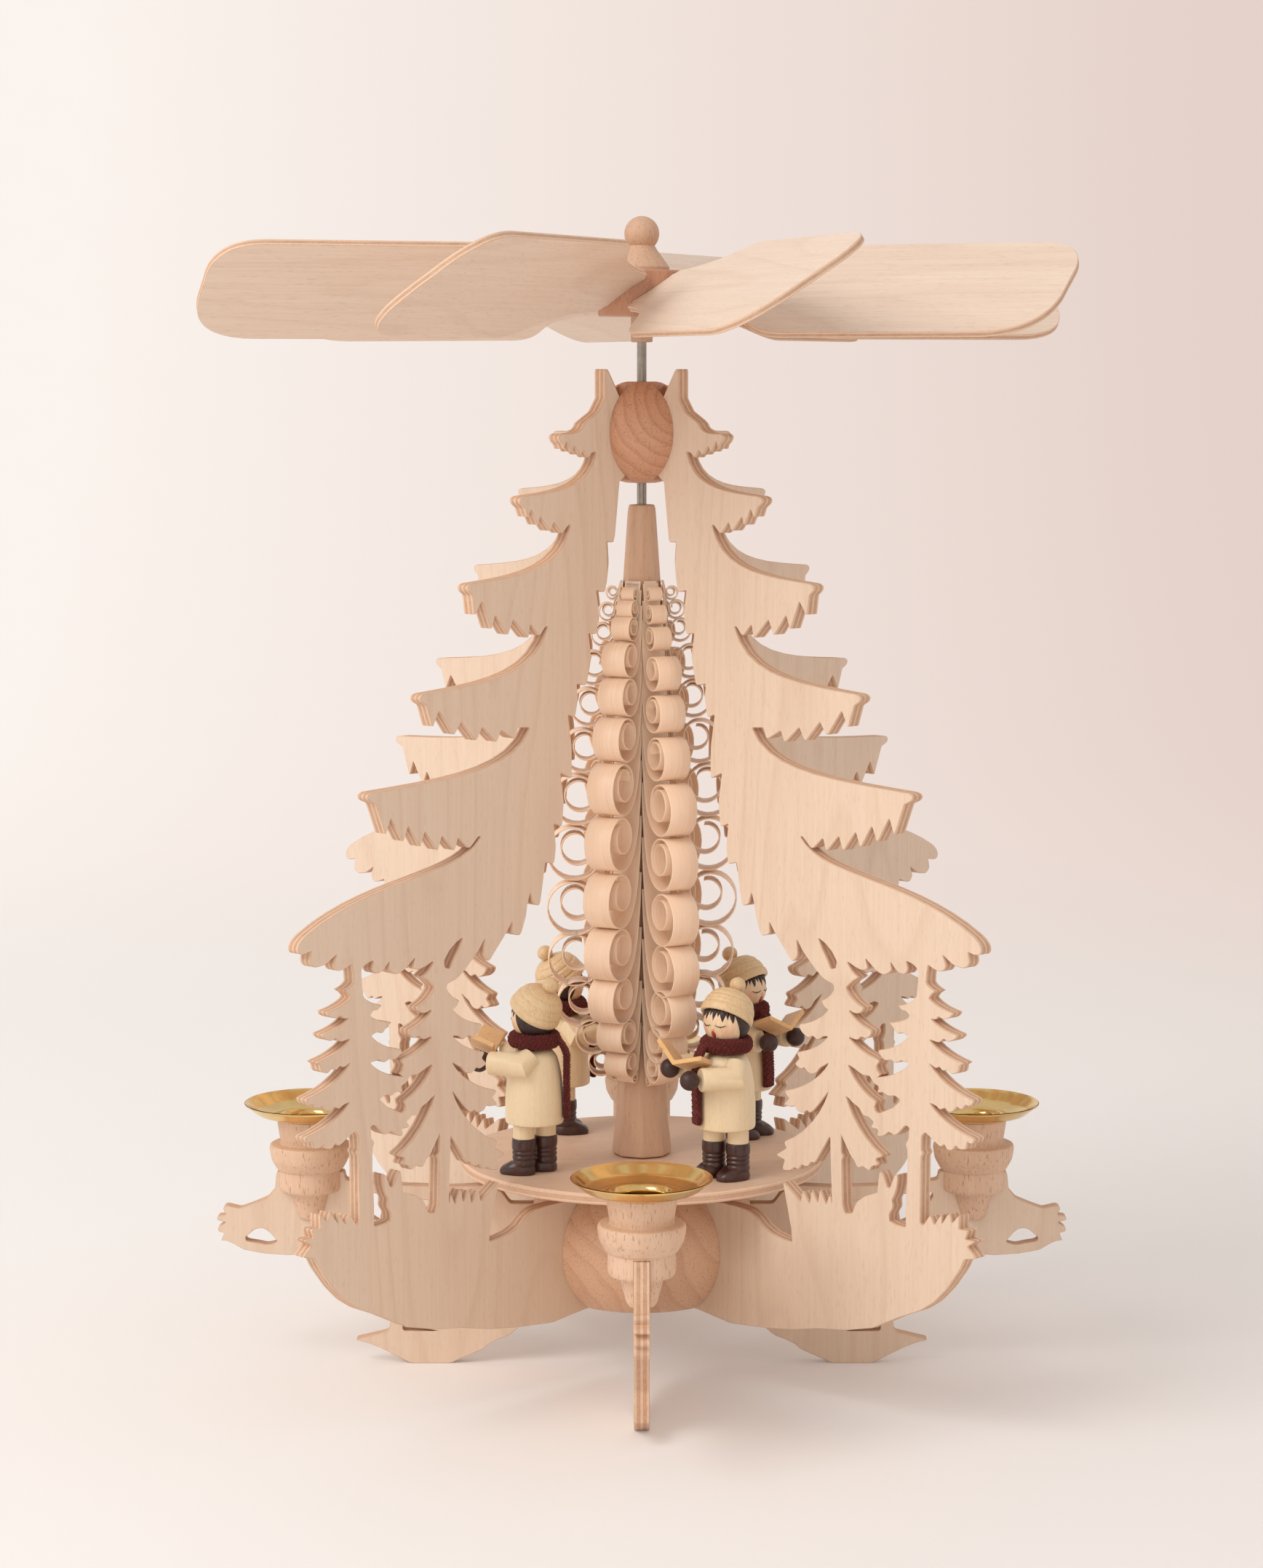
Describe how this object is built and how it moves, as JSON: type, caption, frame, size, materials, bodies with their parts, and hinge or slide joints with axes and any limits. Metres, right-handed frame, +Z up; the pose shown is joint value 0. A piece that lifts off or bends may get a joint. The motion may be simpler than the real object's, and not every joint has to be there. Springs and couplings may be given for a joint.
{
  "type": "christmas pyramid",
  "caption": "Wooden candle carousel: bladed rotor on an axle turns a table with a shaved curl tree and small singers inside fir-tree panels, between candle arms.",
  "frame": {"origin": "centre of the footprint, on the plane the feet stand on", "axes": "+Z up along the axle, -Y towards the front candle arm, +X to the right seen from the front"},
  "size_m": [0.3204, 0.3204, 0.4295],
  "materials": {
    "birch_plywood": "sawn birch plywood, plain, edges darker",
    "blade_plywood": "thin sanded plywood",
    "turntable_plywood": "sanded plywood with a turned edge",
    "turned_beech": "turned, satin clear coat",
    "lime_shavings": "knife-shaved, smooth",
    "figure_maple": "turned, satin clear coat",
    "boot_paint": "dark brown satin paint",
    "book_wood": "planed strip",
    "scarf_wool": "knitted wool",
    "brass_sheet": "polished, lacquered",
    "steel": "drawn rod"
  },
  "bodies": {
    "stand": {"base_hub": "turned_beech", "tree_panel_1": "birch_plywood", "tree_panel_2": "birch_plywood", "tree_panel_3": "birch_plywood", "tree_panel_4": "birch_plywood", "candle_arm_1": "birch_plywood", "candle_arm_2": "birch_plywood", "candle_arm_3": "birch_plywood", "candle_arm_4": "birch_plywood", "candle_holder_1": "turned_beech", "candle_holder_2": "turned_beech", "candle_holder_3": "turned_beech", "candle_holder_4": "turned_beech", "top_ball": "turned_beech", "bearing_cup": "steel", "top_bush": "steel"},
    "carousel": {"spindle": "steel", "turntable": "turntable_plywood", "curl_tree": "lime_shavings", "caroler_1_coat": "figure_maple", "caroler_1_boots": "boot_paint", "caroler_1_head": "figure_maple", "caroler_1_arm_left": "figure_maple", "caroler_1_arm_right": "figure_maple", "caroler_1_scarf": "scarf_wool", "caroler_1_book": "book_wood", "caroler_2_coat": "figure_maple", "caroler_2_boots": "boot_paint", "caroler_2_head": "figure_maple", "caroler_2_arm_left": "figure_maple", "caroler_2_arm_right": "figure_maple", "caroler_2_scarf": "scarf_wool", "caroler_2_book": "book_wood", "caroler_3_coat": "figure_maple", "caroler_3_boots": "boot_paint", "caroler_3_head": "figure_maple", "caroler_3_arm_left": "figure_maple", "caroler_3_arm_right": "figure_maple", "caroler_3_scarf": "scarf_wool", "caroler_3_book": "book_wood", "caroler_4_coat": "figure_maple", "caroler_4_boots": "boot_paint", "caroler_4_head": "figure_maple", "caroler_4_arm_left": "figure_maple", "caroler_4_arm_right": "figure_maple", "caroler_4_scarf": "scarf_wool", "caroler_4_book": "book_wood"},
    "rotor": {"rotor_hub": "turned_beech", "blade_1": "blade_plywood", "blade_2": "blade_plywood", "blade_3": "blade_plywood", "blade_4": "blade_plywood", "blade_5": "blade_plywood", "blade_6": "blade_plywood", "blade_7": "blade_plywood", "blade_8": "blade_plywood"},
    "tray_1": {"drip_tray_1": "brass_sheet"},
    "tray_2": {"drip_tray_2": "brass_sheet"},
    "tray_3": {"drip_tray_3": "brass_sheet"},
    "tray_4": {"drip_tray_4": "brass_sheet"}
  },
  "joints": [
    {"name": "carousel_turn", "type": "hinge", "parent": "stand", "child": "carousel", "pos_m": [0, 0, 0.2], "axis": [0, 0, 1], "continuous": true},
    {"name": "rotor_lift_off", "type": "slide", "parent": "carousel", "child": "rotor", "axis": [0, 0, 1], "range_m": [0, 0.025]},
    {"name": "tray_1_lift_out", "type": "slide", "parent": "stand", "child": "tray_1", "axis": [0, 0, 1], "range_m": [0, 0.02]},
    {"name": "tray_2_lift_out", "type": "slide", "parent": "stand", "child": "tray_2", "axis": [0, 0, 1], "range_m": [0, 0.02]},
    {"name": "tray_3_lift_out", "type": "slide", "parent": "stand", "child": "tray_3", "axis": [0, 0, 1], "range_m": [0, 0.02]},
    {"name": "tray_4_lift_out", "type": "slide", "parent": "stand", "child": "tray_4", "axis": [0, 0, 1], "range_m": [0, 0.02]}
  ]
}
